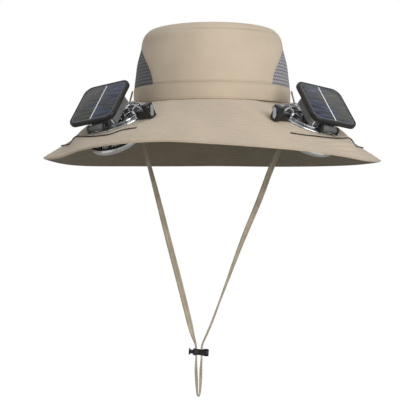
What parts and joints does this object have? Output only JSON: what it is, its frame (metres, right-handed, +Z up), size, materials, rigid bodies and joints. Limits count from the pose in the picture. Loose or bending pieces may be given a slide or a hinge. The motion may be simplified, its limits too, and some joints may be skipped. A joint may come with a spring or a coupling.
{
  "type": "solar fan hat",
  "caption": "Wide brimmed cloth sun hat with mesh side vents, solar driven fans set through the brim and a chin strap with a cord lock.",
  "frame": {"origin": "middle of the head opening, level with the seam where the crown meets the brim", "axes": "+Z up, -Y to the hat's front, +X to the right as seen from the front"},
  "size_m": [0.368, 0.396, 0.403],
  "materials": {
    "fabric_khaki": "woven cotton, matt",
    "mesh_grey": "open knitted mesh",
    "piping_black": "woven cord, matt",
    "plastic_black": "moulded, glossy",
    "plastic_grey": "moulded, fine texture",
    "metal_silver": "bright plated",
    "metal_dark": "dark plated",
    "solar_cell": "cells under clear resin",
    "strap_tan": "woven tape"
  },
  "bodies": {
    "hat": {"crown_top": "fabric_khaki", "crown_side": "fabric_khaki", "crown_band": "fabric_khaki", "brim": "fabric_khaki", "crown_mesh_left": "mesh_grey", "crown_mesh_right": "mesh_grey", "brim_piping_left": "piping_black", "brim_piping_right": "piping_black", "fan_flange_left": "metal_silver", "fan_flange_right": "metal_silver", "fan_duct_left": "metal_dark", "fan_duct_right": "metal_dark", "fan_bezel_left": "metal_silver", "fan_bezel_right": "metal_silver", "fan_grille_left": "metal_dark", "fan_grille_right": "metal_dark", "fan_cage_left": "metal_dark", "fan_cage_right": "metal_dark", "fan_motor_left": "metal_silver", "fan_motor_right": "metal_silver", "hinge_bracket_left": "plastic_black", "hinge_bracket_right": "plastic_black", "side_box_left": "plastic_black", "side_box_right": "plastic_black", "side_plate_left": "metal_silver", "side_plate_right": "metal_silver", "side_arm_left": "plastic_black", "side_arm_right": "plastic_black", "chin_strap": "strap_tan", "lock_body": "plastic_black"},
    "lock_plunger": {"lock_plunger": "plastic_black"},
    "fan_impeller_left": {"fan_impeller_left": "metal_silver"},
    "solar_panel_left": {"panel_frame_left": "plastic_black", "solar_cells_left": "solar_cell", "battery_case_left": "plastic_grey"},
    "fan_impeller_right": {"fan_impeller_right": "metal_silver"},
    "solar_panel_right": {"panel_frame_right": "plastic_black", "solar_cells_right": "solar_cell", "battery_case_right": "plastic_grey"}
  },
  "joints": [
    {"name": "fan_spin_left", "type": "hinge", "parent": "hat", "child": "fan_impeller_left", "pos_m": [-0.09512, -0.08565, -0.01915], "axis": [-0.3523, -0.3172, 0.8805], "continuous": true},
    {"name": "panel_tilt_left", "type": "hinge", "parent": "hat", "child": "solar_panel_left", "pos_m": [-0.11703, -0.11035, -0.03], "axis": [0.8259, -0.5479, 0.1331], "range_deg": [0, 50]},
    {"name": "fan_spin_right", "type": "hinge", "parent": "hat", "child": "fan_impeller_right", "pos_m": [0.09512, -0.08565, -0.02092], "axis": [0.3523, -0.3172, 0.8805], "continuous": true},
    {"name": "panel_tilt_right", "type": "hinge", "parent": "hat", "child": "solar_panel_right", "pos_m": [0.11703, -0.11035, -0.03177], "axis": [0.8259, 0.5479, -0.1331], "range_deg": [0, 50]},
    {"name": "lock_press", "type": "slide", "parent": "hat", "child": "lock_plunger", "axis": [0.9976, 0, -0.0698], "range_m": [0, 0.0024], "stiffness_N_per_m": 300, "springref_m": -0.003}
  ]
}
